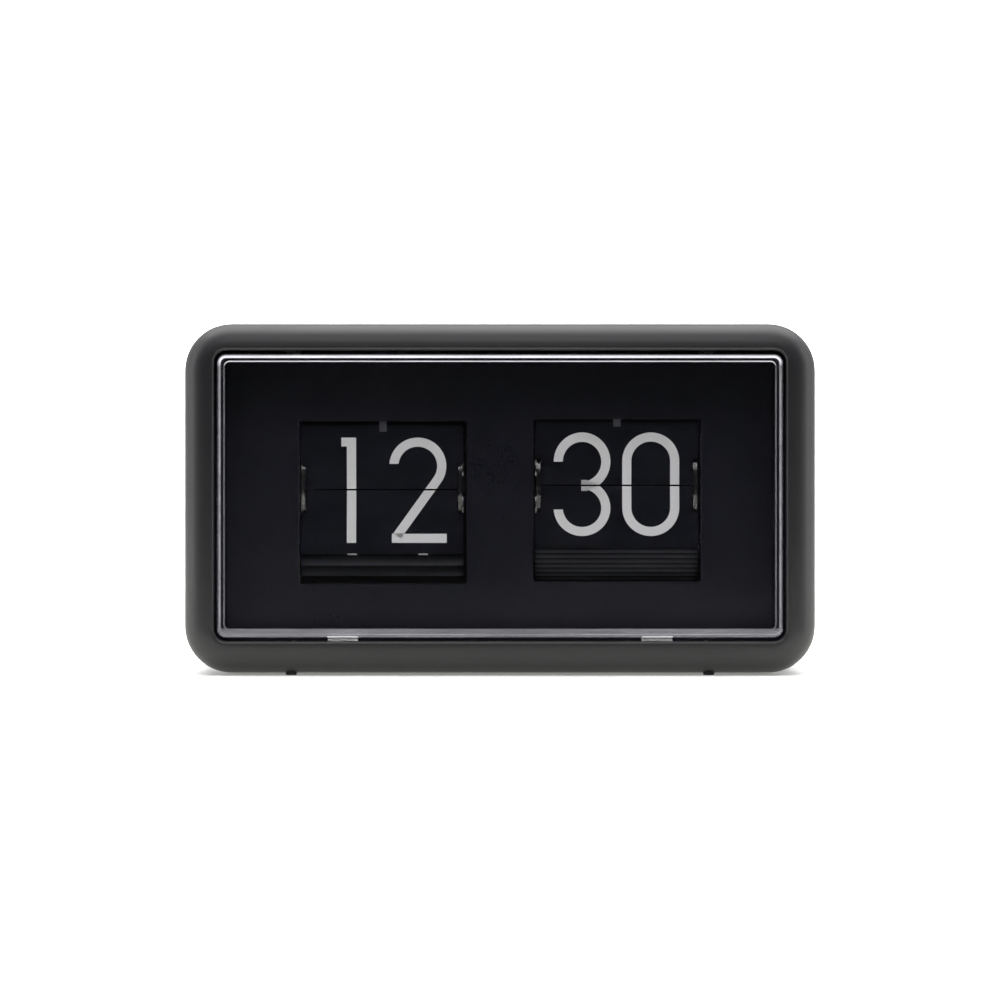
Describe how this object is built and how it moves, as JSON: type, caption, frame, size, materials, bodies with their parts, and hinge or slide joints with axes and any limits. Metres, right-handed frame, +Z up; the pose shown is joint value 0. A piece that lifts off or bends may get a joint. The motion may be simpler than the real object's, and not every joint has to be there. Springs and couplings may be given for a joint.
{
  "type": "flip number clock",
  "caption": "Table clock with two drums of split number leaves that fall to show hours and minutes behind a clear window in a rounded dark case.",
  "frame": {"origin": "middle of the footprint of the overall box, on the surface the rubber feet stand on", "axes": "+X to the right seen from the front, +Y to the rear, +Z up; the window faces -Y"},
  "size_m": [0.1814, 0.07, 0.101],
  "materials": {
    "case_plastic": "fine matte moulded plastic, warm charcoal",
    "cover_plastic": "matte moulded plastic, charcoal",
    "clear_plastic": "clear moulded styrene window",
    "faceplate_plastic": "smooth black plastic",
    "leaf_film": "thin black film with white printing",
    "gear_plastic": "grey acetal plastic",
    "disc_plastic": "black acetal plastic",
    "steel": "plated sheet steel",
    "screw_steel": "zinc plated screws",
    "spring_steel": "blackened spring strip",
    "contact_metal": "nickel plated contacts",
    "rubber": "black rubber",
    "movement_plastic": "grey moulded plastic",
    "motor_metal": "plated can",
    "board": "green glass-fibre board",
    "cell_wrap": "printed wrap with bright ends",
    "wire": "insulated wire"
  },
  "bodies": {
    "case": {"front_shell": "case_plastic", "window_lens": "clear_plastic", "faceplate": "faceplate_plastic", "rear_cover": "cover_plastic", "rubber_feet": "rubber", "cover_screws": "screw_steel", "faceplate_screws": "screw_steel", "left_plate": "steel", "middle_plate": "steel", "right_plate": "steel", "frame_screws": "screw_steel", "tie_rods": "steel", "tie_rod_screws": "screw_steel", "drum_shaft": "steel", "shaft_clips": "spring_steel", "hour_catch_finger": "spring_steel", "minute_catch_finger": "spring_steel", "hour_standing_leaves": "leaf_film", "hour_front_lower_leaf": "leaf_film", "hour_hanging_leaves": "leaf_film", "minute_standing_leaves": "leaf_film", "minute_front_lower_leaf": "leaf_film", "minute_hanging_leaves": "leaf_film", "movement_case": "movement_plastic", "movement_lid": "movement_plastic", "gear_motor": "motor_metal", "circuit_board": "board", "crystal_can": "motor_metal", "movement_screws": "screw_steel", "battery_cell": "cell_wrap", "battery_positive_contact": "contact_metal", "battery_negative_spring": "contact_metal", "battery_leads": "wire"},
    "minute_drum": {"minute_left_disc": "disc_plastic", "minute_right_disc": "disc_plastic", "minute_spool": "disc_plastic", "minute_pinion": "gear_plastic", "minute_drive_gear": "gear_plastic"},
    "hour_drum": {"hour_left_disc": "disc_plastic", "hour_right_disc": "disc_plastic", "hour_spool": "disc_plastic", "hour_gear": "gear_plastic"},
    "idler": {"idler_arbor": "steel", "idler_wheel": "gear_plastic", "idler_pinion": "gear_plastic"},
    "setting": {"setting_arbor": "steel", "setting_pinion": "gear_plastic", "setting_wheel": "cover_plastic"},
    "motor_output": {"motor_arbor": "steel", "motor_pinion": "gear_plastic"},
    "hour_flap": {"hour_falling_leaf": "leaf_film"},
    "minute_flap": {"minute_falling_leaf": "leaf_film"},
    "door": {"battery_door": "cover_plastic"}
  },
  "joints": [
    {"name": "minute_drum_spin", "type": "hinge", "parent": "case", "child": "minute_drum", "pos_m": [0.0341, 0.0006, 0.0544], "axis": [1, 0, 0], "continuous": true, "deforming": ["minute_standing_leaves", "minute_front_lower_leaf", "minute_hanging_leaves"]},
    {"name": "hour_drum_spin", "type": "hinge", "parent": "case", "child": "hour_drum", "pos_m": [-0.0345, 0.0006, 0.0544], "axis": [1, 0, 0], "continuous": true, "deforming": ["hour_standing_leaves", "hour_front_lower_leaf", "hour_hanging_leaves"]},
    {"name": "idler_spin", "type": "hinge", "parent": "case", "child": "idler", "pos_m": [0, 0.00643, 0.0379], "axis": [1, 0, 0], "continuous": true},
    {"name": "setting_wheel_spin", "type": "hinge", "parent": "case", "child": "setting", "pos_m": [0.0638, 0.0206, 0.0544], "axis": [1, 0, 0], "continuous": true},
    {"name": "motor_output_spin", "type": "hinge", "parent": "case", "child": "motor_output", "pos_m": [0.063, 0.0006, 0.0364], "axis": [1, 0, 0], "continuous": true},
    {"name": "hour_leaf_fall", "type": "hinge", "parent": "case", "child": "hour_flap", "pos_m": [-0.0345, -0.01368, 0.0552], "axis": [1, 0, 0], "range_deg": [0, 169], "deforming": ["hour_falling_leaf"]},
    {"name": "minute_leaf_fall", "type": "hinge", "parent": "case", "child": "minute_flap", "pos_m": [0.0341, -0.01367, 0.05532], "axis": [1, 0, 0], "range_deg": [0, 168], "deforming": ["minute_falling_leaf"]},
    {"name": "battery_door_hinge", "type": "hinge", "parent": "case", "child": "door", "pos_m": [-0.0745, 0.0315, 0.0205], "axis": [-1, 0, 0], "range_deg": [0, 90]}
  ],
  "couplings": [
    {"joint": "hour_drum_spin", "follows": "minute_drum_spin", "ratio": 0.041667},
    {"joint": "idler_spin", "follows": "minute_drum_spin", "ratio": -0.16667},
    {"joint": "setting_wheel_spin", "follows": "minute_drum_spin", "ratio": -3},
    {"joint": "motor_output_spin", "follows": "minute_drum_spin", "ratio": -5}
  ]
}
